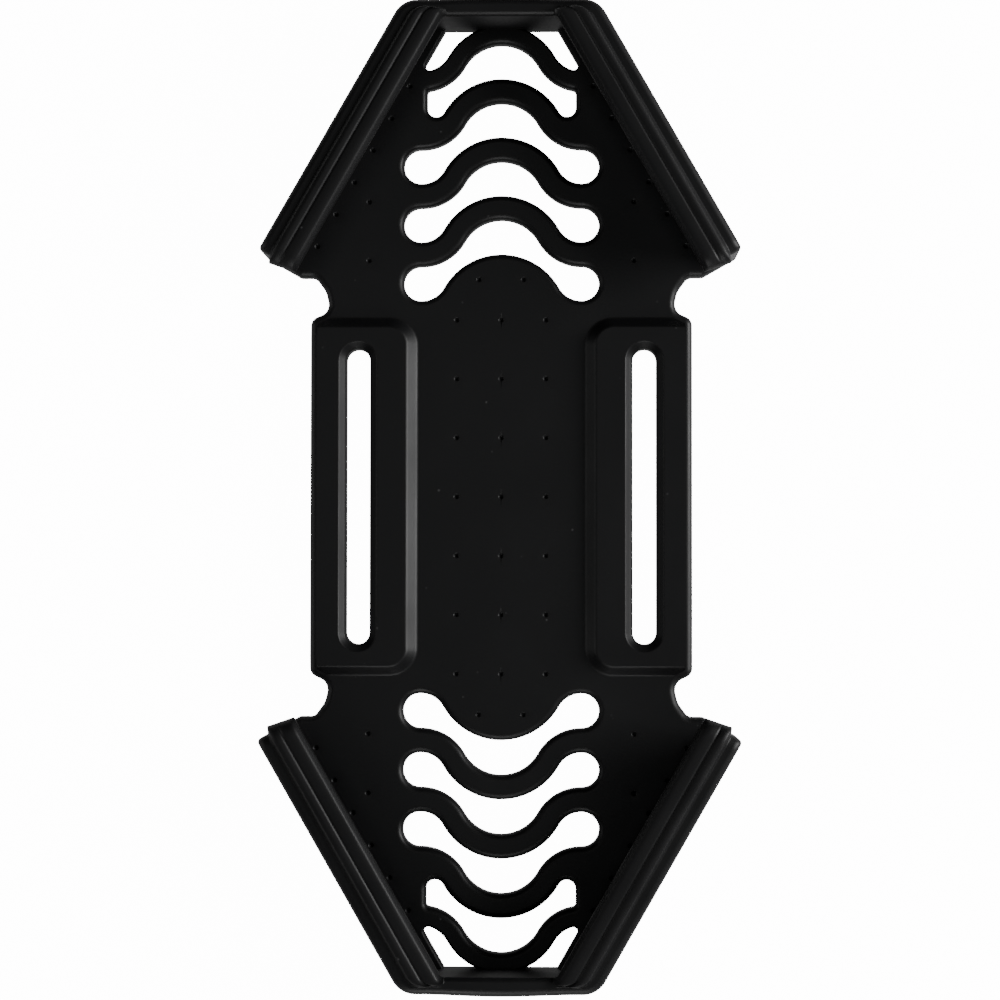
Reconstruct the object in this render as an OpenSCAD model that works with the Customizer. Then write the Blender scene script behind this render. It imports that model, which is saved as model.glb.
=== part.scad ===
// Stretch-on silicone phone cradle for a handlebar strap: one elastic moulding, drawn zone by zone.
// It lies on its back face. +Z comes out of the front, where the phone goes, and +Y is the long way.

/* [Overall size] */
// Length along Y, between the outer faces of the two end walls
cradle_l = 132; // [124:1:150]
// Width along X across the free ends of the corner grips
cradle_w = 64.4; // [60:0.4:76]
// Width of the short end, between its unrounded corners
end_w = 26.1; // [24:0.5:30]
// Length of a corner grip along Y, from the short end to its free end
grip_l = 33.4; // [31:0.1:34]

/* [Back sheet] */
// Thickness of the flat back sheet
sheet_t = 2.5; // [2:0.1:4]
// Width of the middle section across the two strap pads
waist_w = 51.7; // [50:0.5:54]
// Width left between the two side notches
neck_w = 46.6; // [44:0.2:48]
// Distance along Y from the short end to the notch's straight ledge
ledge_drop = 36.2; // [35:0.1:36.2]
// Width between the notch corners on that ledge
ledge_w = 50.6; // [48:0.1:52]
// Drop from that ledge to the narrowest place of the notch
notch_drop = 4.5; // [4:0.1:5]
// How much further out the notch's side is where it starts to turn out to the ledge
notch_flare = 0.6; // [0.2:0.1:1]
// Drop from the ledge to that place
notch_rise = 1.9; // [1.6:0.1:2.2]
// Drop from that ledge to the corner where the notch meets the pads
waist_drop = 5.8; // [5.8:0.1:7]

/* [Strap pads and slots] */
// Rise of the strap pads above the sheet
pad_rise = 1.3; // [0.8:0.1:2]
// Distance between the feet of the two pads' inner slopes
pad_gap_w = 22.3; // [22:0.1:26]
// Length of a pad along Y at its foot
pad_l = 48.8; // [46:0.2:49]
// Run of a pad's inner slope
pad_slope = 1.9; // [1:0.1:3]
// Run of a pad's slopes at its two ends
pad_end_slope = 1.6; // [1:0.1:3]
// Radius of a pad's inner corners, seen from the front
pad_corner_r = 4; // [2:0.5:6]
// Clear width of a strap slot
slot_w = 3.2; // [2.4:0.1:4]
// Clear length of a strap slot, end to end
slot_l = 40; // [34:0.2:42]
// Distance between the centre lines of the two slots
slot_spacing = 38.8; // [37:0.2:41]
// Width of the sloped rim round a slot
slot_rim = 1; // [0.5:0.1:1.4]

/* [Wave springs] */
// Step from one wave bar to the next
wave_pitch = 8; // [7.8:0.1:8.2]
// Width of a wave bar
bar_w = 3.3; // [2.6:0.1:3.8]
// Width of the bar next to the end wall, which is thinner
end_bar_w = 2.55; // [2.5:0.05:3.3]
// Radius of a bar's centre line over the crest
crest_r = 7.36; // [7:0.1:8]
// Radius of a bar's centre line in the troughs
trough_r = 5.18; // [4.8:0.1:5.6]
// Distance from the middle of a bar to the middle of its troughs
trough_x = 10.9; // [10.5:0.1:11.2]
// Distance along Y from the short end to the middle tongue's tip
tongue_drop = 33; // [32.5:0.1:33.5]
// Half width of the widest gap next to the end wall
end_gap_x = 10.1; // [9.5:0.1:10.4]

/* [Walls and lips] */
// Overall height, from the back face to the crest of the lips' middle bead
cradle_h = 13; // [11:0.1:16]
// Height of the flat rims of the side walls, at the foot of the bead
rim_z = 12.2; // [10.4:0.1:14]
// Height of the end walls
end_wall_z = 12; // [10:0.1:14]
// Thickness of the slanted side walls
side_wall_t = 1.75; // [1.4:0.05:2.4]
// Thickness of the end walls
end_wall_t = 2.3; // [1.6:0.1:3]
// Reach of a lip, from the wall's outer face to the lip's inner edge
lip_w = 5.85; // [5:0.05:7]
// Thickness of a lip at its foot
lip_t = 1.6; // [1.2:0.1:2.2]
// Radius of the outline's four end corners
end_corner_r = 3.5; // [2:0.1:4.5]
// Radius of the grips' free corners
grip_corner_r = 1.2; // [0.8:0.1:2.5]
// Length of the stiff corner between a lip and the end wall
corner_l = 7; // [6:0.5:9]
// Width of the middle bead at its foot
bead_w = 1.5; // [1.2:0.1:1.8]
// Depth of the groove between the middle bead and the inner bead
groove_d = 0.7; // [0.4:0.1:0.8]
// Drop from the crest of the middle bead to the top of the inner bead
inner_bead_drop = 0.2; // [0.1:0.1:0.3]
// Length of a lip past the free end of its wall
lip_overhang = 0.6; // [0.2:0.1:0.8]

/* [Dimples] */
// Step between the rows of dimples
dimple_pitch = 8; // [6:0.5:8]
// Distance from the middle to the outer column of dimples
dimple_col = 6.05; // [5:0.05:7]
// Depth of a dimple
dimple_depth = 0.4; // [0.2:0.1:0.8]
// Radius of the ball that forms a dimple
dimple_ball_r = 0.75; // [0.6:0.05:1.2]
// Distance from the tongue's tip to the pair of dimples on it
tongue_dimple_drop = 3.5; // [3:0.5:5]
// Distance from the middle of the dimples on the side webs, along X
web_dimple_x = 18; // [17.5:0.5:19]
// Height of the first of them above the notch's ledge
web_dimple_rise = 2.3; // [2.2:0.1:3.7]
// Step between the dimples beside a lip
lip_dimple_step = 5.04; // [4:0.1:5.2]
// Distance of that row from the slanted side's outer face
lip_dimple_inset = 5.5; // [5:0.1:7]
// Distance of its first dimple from the end corner, along the slanted side
lip_dimple_start = 8.5; // [8:0.5:10]

/* [Hidden] */
ENDS = ["upper", "lower"];
SIDES = ["left", "right"];
BARS = [1, 2, 3, 4];

RUBBER = [0.07, 0.07, 0.075];
RUBBER_LIP = [0.16, 0.16, 0.17];
RUBBER_SPRING = [0.11, 0.11, 0.12];

arc_step = 7.5;
ball_fn = 24;
round_fn = 48;
// Small roundings: the outline's notch corners, the pads' top edges and the side walls' rims
waist_r = 1.3;
neck_r = 1.7;
notch_r = 3;
ledge_r = 1.2;
pad_edge_r = 0.6;
rim_r = 0.8;

half_l = cradle_l / 2;
// Heights above the middle line, which follow the short end
grip_end_y = half_l - grip_l;
ledge_y = half_l - ledge_drop;
tongue_y = half_l - tongue_drop;
web_dimple_y = ledge_y + web_dimple_rise;
half_w = cradle_w / 2;
end_x = end_w / 2;
// Angle of the slanted sides from the long way, and their length
slant = atan2(half_w - end_x, half_l - grip_end_y);
slant_l = norm([half_w - end_x, half_l - grip_end_y]);
inward = [-cos(slant), -sin(slant)];
lip_l = slant_l - corner_l;
lip_under_z = rim_z - lip_t;
// Half length of the end wall: it stops where the lip's inner edge meets it
lip_edge_drop = lip_w * sin(slant);
wall_half_l = end_x - lip_w * cos(slant) - (lip_edge_drop - end_wall_t) * tan(slant);

// Wave springs: angle spanned by each arc and the heights of the arcs' centres for the tongue's edge
wave_angle = asin(trough_x / (crest_r + trough_r));
wave_dy = (crest_r + trough_r) * cos(wave_angle);
crest_y = tongue_y - crest_r - bar_w / 2;
gap_r = (wave_pitch - bar_w) / 2;
trough_y = crest_y + wave_dy;
// Middle of the round end of the innermost gap, and the line just below it where the necks begin
neck_margin = 0.5;
gap_end_y = trough_y - trough_r + bar_w / 2 + gap_r;
neck_y = gap_end_y - gap_r - neck_margin;

pad_z = sheet_t + pad_rise;
rim_depth = min(slot_rim, pad_rise * 0.8);
slack = 1;

// Points of a polygon whose corners [x, y, r] are rounded to radius r
function turn(a, b) = atan2(a.x * b.y - a.y * b.x, a * b);
function unit(a) = a / norm(a);
function xy(p) = [p.x, p.y];
function corner(p, q, s) =
    let (a = unit(xy(q) - xy(p)), b = unit(xy(s) - xy(q)), t = turn(a, b), r = q[2])
    (r == 0 || abs(t) < 0.01) ? [xy(q)] :
    let (cut = r * tan(abs(t) / 2), side = sign(t), start = xy(q) - a * cut,
         centre = start + side * r * [-a.y, a.x], n = max(1, ceil(abs(t) / arc_step)),
         first = atan2(start.y - centre.y, start.x - centre.x))
    [for (i = [0:n]) centre + r * [cos(first + t * i / n), sin(first + t * i / n)]];
function rounded(pts) =
    let (n = len(pts))
    [for (i = [0:n - 1], q = corner(pts[(i + n - 1) % n], pts[i], pts[(i + 1) % n])) q];

// Points along a bar's line, left to right, moved out by e from the centre line of wave number n
function wave(n, e) =
    let (y0 = crest_y + n * wave_pitch, y1 = y0 + wave_dy, steps = ceil(wave_angle / arc_step))
    concat(
        [for (i = [0:steps - 1]) let (a = wave_angle * i / steps)
            [-trough_x + (trough_r - e) * sin(a), y1 - (trough_r - e) * cos(a)]],
        [for (i = [-steps:steps]) let (a = wave_angle * i / steps)
            [(crest_r + e) * sin(a), y0 + (crest_r + e) * cos(a)]],
        [for (i = [steps - 1:-1:0]) let (a = wave_angle * i / steps)
            [trough_x - (trough_r - e) * sin(a), y1 - (trough_r - e) * cos(a)]]
    );
function reversed(v) = [for (i = [len(v) - 1:-1:0]) v[i]];
function mirrored(v) = [for (i = [len(v) - 1:-1:0]) [-v[i].x, v[i].y, v[i][2]]];
// The wave number of a bar: bar 1 is next to the end wall, and the tongue's edge is wave 0
function wave_number(bar) = 5 - bar;
function on_slant(v, u) = [half_w, grip_end_y] + v * [-sin(slant), cos(slant)] + u * inward;

// Outline of the sheet, upper right quarter, from the waist up to the short end
function quarter_outline() = [
    [waist_w / 2, ledge_y - waist_drop, waist_r],
    [neck_w / 2, ledge_y - notch_drop, neck_r],
    [neck_w / 2 + notch_flare, ledge_y - notch_rise, notch_r],
    [ledge_w / 2, ledge_y, ledge_r],
    concat(on_slant(0, (grip_end_y - ledge_y) / sin(slant)), 0),
    concat(on_slant(0, 0), grip_corner_r),
    [end_x, half_l, end_corner_r]
];
function half_outline() = concat(quarter_outline(), mirrored(quarter_outline()));
function flipped(v) = [for (p = v) [-p.x, -p.y, p[2]]];

module outline_2d() {
    polygon(rounded(concat(half_outline(), flipped(half_outline()))));
}

// Puts children drawn at the upper right in the named end and side
module place(end = "upper", side = "right") {
    mirror([0, end == "lower" ? 1 : 0, 0]) mirror([side == "left" ? 1 : 0, 0, 0]) children();
}

// Children drawn with x along the slanted side from its free end, y inward from its outer face
module along_slant() {
    translate([half_w, grip_end_y, 0]) rotate(90 + slant) children();
}

// A profile [inward, up] carried along the slanted side from v0 to v1
module slant_bar(v0, v1, profile) {
    along_slant() translate([v0, 0, 0]) rotate([90, 0, 90]) linear_extrude(v1 - v0) polygon(profile);
}

module gap_2d(n) {
    y = gap_end_y + n * wave_pitch;
    polygon(concat(wave(n, bar_w / 2), reversed(wave(n + 1, -bar_w / 2))));
    for (s = [-1, 1]) translate([s * trough_x, y]) circle(gap_r, $fn = round_fn);
}

module bar_2d(n) {
    polygon(concat(wave(n, outer_edge(n)), reversed(wave(n, -bar_w / 2))));
}

// Distance from a bar's centre line to its outer edge
function outer_edge(n) = (n == wave_number(1) ? end_bar_w : bar_w) - bar_w / 2;

// The panel's upper half, right to left: the necks' line broken by the tongue
function tongue_half() = concat(
    [[half_w, neck_y], [trough_x, neck_y]], reversed(wave(0, bar_w / 2)),
    [[-trough_x, neck_y], [-half_w, neck_y]]
);

// Everything below the outer edge of wave n, between the troughs
module below_wave_2d(n) {
    polygon(concat(wave(n, outer_edge(n)), [[trough_x, 0], [-trough_x, 0]]));
}

// The corner gap beside the end wall: inside the lip's edge, above bar 1
module corner_gap_2d() {
    y_top = half_l - end_wall_t;
    p_top = [wall_half_l, y_top];
    p_low = p_top + 1.5 * wave_pitch * [sin(slant), -cos(slant)];
    difference() {
        polygon([[0, y_top], p_top, p_low, [0, p_low.y]]);
        below_wave_2d(wave_number(1));
        translate([trough_x, 0]) square([half_w, half_l]);
    }
}

// The web beside the largest gap is brought in to a straight edge
module gap_end_filler_2d() {
    n = wave_number(2);
    intersection() {
        polygon(concat(wave(n, bar_w / 2), reversed(wave(n + 1, -bar_w / 2))));
        translate([end_gap_x, 0]) square([trough_x - end_gap_x, half_l]);
    }
}

module dimple(p) {
    translate([p.x, p.y, sheet_t + dimple_ball_r - dimple_depth]) sphere(dimple_ball_r, $fn = ball_fn);
}

module pad_plan_2d() {
    x0 = pad_gap_w / 2;
    x1 = waist_w / 2 + slack;
    polygon(rounded([[x0, -pad_l / 2, pad_corner_r], [x1, -pad_l / 2, 0],
                     [x1, pad_l / 2, 0], [x0, pad_l / 2, pad_corner_r]]));
}

module centre_panel() {
    rows = [-3:3];
    color(RUBBER) difference() {
        linear_extrude(sheet_t) difference() {
            intersection() {
                outline_2d();
                polygon(concat(tongue_half(), -1 * tongue_half()));
            }
            for (s = SIDES) place("upper", s) pad_plan_2d();
        }
        for (x = [-1:1], y = rows) dimple([x * dimple_col, y * dimple_pitch]);
        for (e = ENDS, s = [-1, 1]) place(e) dimple([s * dimple_col / 2, tongue_y - tongue_dimple_drop]);
    }
}

// A strap slot with round ends, and its sloped rim
module slot_cut() {
    y = (slot_l - slot_w) / 2;
    top = slot_w / 2 + slot_rim;
    z0 = pad_z - rim_depth;
    translate([slot_spacing / 2, 0, 0]) {
        for (s = [-1, 1]) translate([0, s * y, 0]) {
            translate([0, 0, -slack]) cylinder(r = slot_w / 2, h = pad_z + 2 * slack, $fn = round_fn);
            translate([0, 0, z0]) cylinder(r1 = slot_w / 2, r2 = top, h = rim_depth, $fn = round_fn);
            translate([0, 0, pad_z]) cylinder(r = top, h = slack, $fn = round_fn);
        }
        rotate([90, 0, 0]) linear_extrude(2 * y, center = true)
            polygon([[-slot_w / 2, -slack], [slot_w / 2, -slack], [slot_w / 2, z0], [top, pad_z],
                     [top, pad_z + slack], [-top, pad_z + slack], [-top, pad_z], [-slot_w / 2, z0]]);
    }
}

module strap_pad() {
    x0 = pad_gap_w / 2;
    x1 = waist_w / 2;
    color(RUBBER_SPRING) difference() {
        intersection() {
            linear_extrude(pad_z) intersection() {
                pad_plan_2d();
                outline_2d();
            }
            rotate([90, 0, 0]) linear_extrude(pad_l, center = true)
                polygon(rounded([[x0, 0, 0], [x1, 0, 0], [x1, pad_z, pad_edge_r],
                                 [x0 + pad_slope, pad_z, pad_edge_r], [x0, sheet_t, 0]]));
            rotate([90, 0, 90]) linear_extrude(half_w)
                polygon([[-pad_l / 2, 0], [pad_l / 2, 0], [pad_l / 2, sheet_t], [pad_l / 2 - pad_end_slope, pad_z],
                         [-pad_l / 2 + pad_end_slope, pad_z], [-pad_l / 2, sheet_t]]);
        }
        slot_cut();
    }
}

module neck() {
    color(RUBBER) linear_extrude(sheet_t) difference() {
        intersection() {
            outline_2d();
            translate([trough_x, neck_y]) square([half_w, ledge_y - neck_y]);
        }
        gap_2d(0);
        pad_plan_2d();
    }
}

module web() {
    color(RUBBER) difference() {
        linear_extrude(sheet_t) union() {
            difference() {
                intersection() {
                    outline_2d();
                    translate([0, ledge_y]) square([half_w, half_l]);
                }
                below_wave_2d(wave_number(1));
                for (n = [0:2]) gap_2d(n);
                corner_gap_2d();
                translate([0, half_l - end_wall_t]) square([wall_half_l, end_wall_t + slack]);
            }
            gap_end_filler_2d();
        }
        for (k = [0, 1]) dimple([web_dimple_x, web_dimple_y + k * dimple_pitch]);
        for (k = [0:5]) dimple(on_slant(slant_l - lip_dimple_start - k * lip_dimple_step, lip_dimple_inset));
    }
}

module wave_bar(bar) {
    color(RUBBER_SPRING) linear_extrude(sheet_t) intersection() {
        bar_2d(wave_number(bar));
        translate([-half_w, 0]) square([cradle_w, half_l - end_wall_t]);
    }
}

module end_wall() {
    color(RUBBER_LIP) translate([0, half_l - end_wall_t / 2, 0]) linear_extrude(end_wall_z)
        square([2 * wall_half_l, end_wall_t], center = true);
}

module side_wall() {
    color(RUBBER_LIP) intersection() {
        slant_bar(0, lip_l, rounded([[0, sheet_t, 0], [side_wall_t, sheet_t, 0],
                                     [side_wall_t, rim_z, 0], [0, rim_z, rim_r]]));
        linear_extrude(cradle_h) outline_2d();
    }
}

// The end corner: a short wall round the corner, roofed by the lip
module end_corner() {
    reach = 2 * corner_l;
    module zone_2d() {
        difference() {
            intersection() {
                outline_2d();
                translate([wall_half_l, half_l - reach]) square([half_w, reach]);
                translate(on_slant(lip_l, 0)) rotate(slant) translate([-half_w, 0]) square([cradle_w, reach]);
            }
            translate(on_slant(0, lip_w)) rotate(slant) translate([-half_w, -slack]) square([half_w, 2 * slant_l]);
        }
    }
    module inside_2d() {
        intersection() {
            translate([-half_w, 0]) square([cradle_w, half_l - end_wall_t]);
            translate(on_slant(0, side_wall_t)) rotate(slant) translate([-half_w, -slack])
                square([half_w, 2 * slant_l]);
        }
    }
    color(RUBBER_LIP) union() {
        translate([0, 0, sheet_t]) linear_extrude(rim_z - sheet_t) difference() {
            zone_2d();
            inside_2d();
        }
        translate([0, 0, lip_under_z]) linear_extrude(rim_z - lip_under_z) zone_2d();
    }
}

// The lip's section, with its raised middle bead, groove and rounded inner bead
module lip() {
    w = side_wall_t;
    edge_r = 0.3;
    flank = 0.3 * bead_w;
    inner_z = cradle_h - inner_bead_drop;
    foot = w + bead_w + flank / 2;
    // The points run from the underside round the inner edge, over the two beads and back to the wall
    color(RUBBER_LIP) slant_bar(-lip_overhang, lip_l, rounded(concat(
        [[w, lip_under_z, 0], [lip_w, lip_under_z, edge_r], [lip_w, rim_z - edge_r, edge_r],
         [lip_w - 2 * edge_r, inner_z, edge_r], [foot + flank, inner_z, edge_r / 2],
         [foot, cradle_h - groove_d, 0]],
        [[w + bead_w, inner_z, edge_r / 2], [w + 2 * flank, cradle_h, 2 * edge_r],
         [w + flank, (inner_z + cradle_h) / 2, edge_r / 2], [w, rim_z, 0]])));
}

centre_panel();
for (s = SIDES)
    place("upper", s) strap_pad();
for (e = ENDS) {
    place(e) end_wall();
    for (k = BARS)
        place(e) wave_bar(k);
    for (s = SIDES) {
        place(e, s) neck();
        place(e, s) web();
        place(e, s) side_wall();
        place(e, s) end_corner();
        place(e, s) lip();
    }
}
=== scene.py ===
# %% [markdown]
# # A stretch-on phone cradle for a handlebar strap
#
# The cradle is one soft moulding: a flat back sheet with two raised strap pads, wave-shaped springs
# cut through its two tapered ends, and four corner grips whose walls carry a beaded lip.
# All of it is drawn in the upper right quarter, in millimetres, and mirrored to the other three.
# The skin is built in these parts:
#
# 1. curves in plan, each a function of an offset `d`, so that one formula gives a whole rounded rim;
# 2. the top of the sheet, which is a height field `z = H(x, y)` over the material between the holes;
# 3. the wall and lip, a profile `(u, z)` carried along the slanted side and round the end corner.

# %%
import math

import bpy
import numpy as np
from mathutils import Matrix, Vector
from mathutils.geometry import delaunay_2d_cdt


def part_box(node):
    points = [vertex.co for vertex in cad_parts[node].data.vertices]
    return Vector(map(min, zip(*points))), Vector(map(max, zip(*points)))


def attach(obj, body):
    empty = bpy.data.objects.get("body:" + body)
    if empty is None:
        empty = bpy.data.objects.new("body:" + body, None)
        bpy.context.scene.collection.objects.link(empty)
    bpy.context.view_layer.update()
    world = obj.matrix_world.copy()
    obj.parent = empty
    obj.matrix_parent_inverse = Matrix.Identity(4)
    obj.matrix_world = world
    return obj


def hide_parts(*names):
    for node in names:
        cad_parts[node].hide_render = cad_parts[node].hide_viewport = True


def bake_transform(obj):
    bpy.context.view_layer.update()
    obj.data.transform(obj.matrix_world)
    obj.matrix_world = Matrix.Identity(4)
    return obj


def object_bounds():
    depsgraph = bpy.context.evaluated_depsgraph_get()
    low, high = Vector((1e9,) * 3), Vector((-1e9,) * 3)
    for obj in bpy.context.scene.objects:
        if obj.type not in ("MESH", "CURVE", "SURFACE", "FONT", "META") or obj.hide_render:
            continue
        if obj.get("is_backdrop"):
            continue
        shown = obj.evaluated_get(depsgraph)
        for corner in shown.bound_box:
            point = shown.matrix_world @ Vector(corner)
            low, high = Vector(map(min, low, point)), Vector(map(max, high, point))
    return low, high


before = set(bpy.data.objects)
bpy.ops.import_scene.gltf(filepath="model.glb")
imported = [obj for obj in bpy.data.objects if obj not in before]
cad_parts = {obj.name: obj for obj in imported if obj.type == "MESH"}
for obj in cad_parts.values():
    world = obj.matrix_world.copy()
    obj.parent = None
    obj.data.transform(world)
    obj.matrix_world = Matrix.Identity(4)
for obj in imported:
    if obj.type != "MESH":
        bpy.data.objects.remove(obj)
bounds_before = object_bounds()
MM = 0.001

# %% [markdown]
# ## Sizes
# What the frame's boxes give is read from them. The rest are the plan's own radii and steps.

# %%
def top(node, axis):
    """The highest coordinate of a CAD node along an axis, in millimetres."""
    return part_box(node)[1][axis] / MM


def low(node, axis):
    """The lowest coordinate of a CAD node along an axis, in millimetres."""
    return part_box(node)[0][axis] / MM


HALF_L = top("upper_end_wall", 1)
END_IN = low("upper_end_wall", 1)
END_Z = top("upper_end_wall", 2)
SHEET = top("centre_panel", 2)
PAD_Z = top("right_strap_pad", 2)
PAD_X = low("right_strap_pad", 0)
PAD_Y = top("right_strap_pad", 1)
WAIST = top("right_strap_pad", 0)
RIM_Z = top("upper_right_side_wall", 2)
BEAD_Z = top("upper_right_lip", 2)
TONGUE = top("centre_panel", 1)

FREE = np.array([32.2, 32.6])
END_X = 13.05
SLANT = math.atan2(FREE[0] - END_X, HALF_L - FREE[1])
SLANT_L = math.hypot(FREE[0] - END_X, HALF_L - FREE[1])
UP_SLANT = np.array([-math.sin(SLANT), math.cos(SLANT)])
INWARD = np.array([-math.cos(SLANT), -math.sin(SLANT)])
WALL_T, LIP_W, LIP_T = 1.75, 5.85, 1.6
CORNER_L = 7.0
LIP_L = SLANT_L - CORNER_L
ROOT_L = 8.0
UNDER_Z = RIM_Z - LIP_T
SLOT_X, SLOT_W, SLOT_L, SLOT_RIM, SLOT_EASE = 19.4, 3.2, 40.0, 1.0, 0.12
PITCH, BAR, CREST_R, TROUGH_R, TROUGH_X = 8.0, 3.3, 7.36, 5.18, 10.9
WAVE_A = math.asin(TROUGH_X / (CREST_R + TROUGH_R))
WAVE_DY = (CREST_R + TROUGH_R) * math.cos(WAVE_A)
CREST_Y = TONGUE - CREST_R - BAR / 2
GAP_R = (PITCH - BAR) / 2
GAP_Y = CREST_Y + WAVE_DY - TROUGH_R + BAR / 2 + GAP_R
END_GAP_X = 10.1
FILLET, HOLE_FILLET, NOTCH_FILLET, FOOT = 0.85, 0.4, 0.95, 0.25
CUT_Y = 21.6
LIP_BEND = 1.45
print("slanted side", round(math.degrees(SLANT), 2), "deg,", round(SLANT_L, 2), "mm")

# %% [markdown]
# ## Curves in plan
# Each curve returns its points and the normals that point out of the material. With the offset `d`
# every straight part moves `d` into the material and every arc keeps its centre, so curves with
# different offsets have the same number of points and join into strips.

# %%
def arc(centre, r, a0, a1, n, sign):
    """Points c + r (cos a, sin a) for a from a0 to a1, with normals sign (cos a, sin a)."""
    a = np.linspace(a0, a1, n)
    ray = np.stack([np.cos(a), np.sin(a)], 1)
    return np.asarray(centre) + r * ray, sign * ray


def join(*parts):
    """Curve pieces end to end, without the doubled points."""
    p = np.concatenate([q[0][(1 if i else 0):] for i, q in enumerate(parts)])
    n = np.concatenate([q[1][(1 if i else 0):] for i, q in enumerate(parts)])
    return p, n


def line(p, q, normal, n):
    """Straight piece from p to q with one normal."""
    t = np.linspace(0, 1, n)[:, None]
    return (1 - t) * np.asarray(p) + t * np.asarray(q), np.tile(np.asarray(normal, float), (n, 1))


def wave(k, e, a_start=0.0, a_end=0.0, n=26):
    """Right half of wave k moved out by e: a crest arc about (0, y0), then a trough arc about (x1, y1).

    crest  (R + e) (sin a, cos a), a from a_start to A
    trough  -(r - e) (sin a, cos a), a from A to a_end
    """
    y0 = CREST_Y + k * PITCH
    half = math.pi / 2
    crest = arc((0, y0), CREST_R + e, half - a_start, half - WAVE_A, n, 1)
    trough = arc((TROUGH_X, y0 + WAVE_DY), TROUGH_R - e, -half - WAVE_A, -half - a_end, n, -1)
    return join(crest, trough)


def turned(curve):
    """The same curve the other way round, with its normals turned over."""
    return curve[0][::-1], -curve[1][::-1]


def gap(k, d):
    """Outline of the gap above wave k: the wave's upper edge, a round end, and the next wave's lower edge."""
    e = BAR / 2 - d
    end = arc((TROUGH_X, GAP_Y + k * PITCH), GAP_R + d, -math.pi / 2, math.pi / 2, 32, -1)
    return join(wave(k, e), end, turned(wave(k + 1, -e)))


def square_gap(k, d, r_low=1.2, r_high=0.5):
    """Outline of the gap next to the end bar: it ends in a straight side with two rounded corners."""
    e = BAR / 2 - d
    x = END_GAP_X
    c1 = np.array([TROUGH_X, CREST_Y + k * PITCH + WAVE_DY])
    c2 = c1 + [0, PITCH]
    low_c = np.array([x - r_low, c1[1] - math.sqrt((TROUGH_R - BAR / 2 - r_low) ** 2
                                                   - (TROUGH_X - x + r_low) ** 2)])
    high_c = np.array([x - r_high, c2[1] - math.sqrt((TROUGH_R + BAR / 2 + r_high) ** 2
                                                     - (TROUGH_X - x + r_high) ** 2)])
    t1 = math.atan2(*(c1 - low_c))
    t2 = math.atan2(*(c2 - high_c))
    return join(
        wave(k, e, 0, t1),
        arc(low_c, r_low + d, -math.pi / 2 - t1, 0, 9, -1),
        line((x + d, low_c[1]), (x + d, high_c[1]), (-1, 0), 6),
        arc(high_c, r_high + d, 0, math.pi / 2 - t2, 7, -1),
        turned(wave(k + 1, -e, 0, t2)),
    )


def on_slant(v, u):
    """Point v up the slanted side from its free end, u inward from its outer face."""
    v, u = np.asarray(v, float), np.asarray(u, float)
    return FREE + np.multiply.outer(v, UP_SLANT) + np.multiply.outer(u, INWARD)


def corner_hole(d, r=0.6, thin=0.7):
    """Outline of the small hole beside the end wall: along the end bar, then back up the slanted edge."""
    k, e = 4, BAR / 2 - thin - d
    y0 = CREST_Y + k * PITCH
    c1 = np.array([TROUGH_X, y0 + WAVE_DY])
    a0 = math.acos((END_IN - y0) / (CREST_R + e))
    base = on_slant(0, LIP_W + r) - c1
    b = base @ UP_SLANT
    v = -b - math.sqrt(b * b - base @ base + (TROUGH_R - BAR / 2 + thin - r) ** 2)
    c = on_slant(v, LIP_W + r)
    t = math.atan2(*(c1 - c))
    toward = math.atan2(-INWARD[1], -INWARD[0])
    side = on_slant(v, LIP_W - d)
    up = side + UP_SLANT * (END_IN - side[1]) / UP_SLANT[1]
    return join(
        wave(k, e, a0, t),
        arc(c, r + d, -math.pi / 2 - t, toward, 10, -1),
        line(side, up, INWARD, 8),
    )


def slot(d):
    """Upper half of the strap slot: a straight side, a round end and a straight side."""
    r = SLOT_W / 2 + d
    y = (SLOT_L - SLOT_W) / 2
    return join(
        line((SLOT_X + r, 0), (SLOT_X + r, y), (-1, 0), 14),
        arc((SLOT_X, y), r, 0, math.pi, 40, -1),
        line((SLOT_X - r, y), (SLOT_X - r, 0), (1, 0), 14),
    )


def rounded(corners, d=0.0, step=6.0, gap_len=1.5):
    """Open line through corners (x, y, r), moved d to its left; each corner turns about its own centre."""
    q = np.array([c[:2] for c in corners], float)
    dirs = np.diff(q, axis=0)
    dirs /= np.linalg.norm(dirs, axis=1)[:, None]
    left = np.stack([-dirs[:, 1], dirs[:, 0]], 1)
    parts, here = [], q[0] + d * left[0]
    for i in range(1, len(q) - 1):
        a, b = dirs[i - 1], dirs[i]
        turn = math.atan2(a[0] * b[1] - a[1] * b[0], a @ b)
        s = math.copysign(1, turn)
        r = corners[i][2]
        cut = r * math.tan(abs(turn) / 2)
        centre = q[i] - a * cut + s * r * left[i - 1]
        start = centre - s * (r - s * d) * left[i - 1]
        n = max(2, int(abs(math.degrees(turn)) / step) + 2)
        w = np.linspace(0, turn, n)
        ray = -s * (np.cos(w)[:, None] * left[i - 1] - np.sin(w)[:, None] * a)
        m = max(2, int(np.linalg.norm(q[i] - q[i - 1]) / gap_len) + 1)
        parts += [line(here, start, -left[i - 1], m), (centre + (r - s * d) * ray, s * ray)]
        here = parts[-1][0][-1]
    m = max(2, int(np.linalg.norm(q[-1] - q[-2]) / gap_len) + 1)
    parts.append(line(here, q[-1] + d * left[-1], -left[-1], m))
    return join(*parts)


def notch(d):
    """Side of the sheet: up the waist, in round the notch, and out along the grip's free end."""
    ledge = 29.8
    reach = (FREE[1] - ledge) / math.sin(SLANT)
    out = on_slant(0, reach)
    return rounded([(WAIST, 0), (WAIST, ledge - 5.8, 1.3), (23.3, ledge - 4.5, 1.7), (23.9, ledge - 1.9, 3.0),
                    (25.3, ledge, 1.2), (out[0], out[1], 1.0), tuple(on_slant(0, WALL_T))], d)


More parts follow.
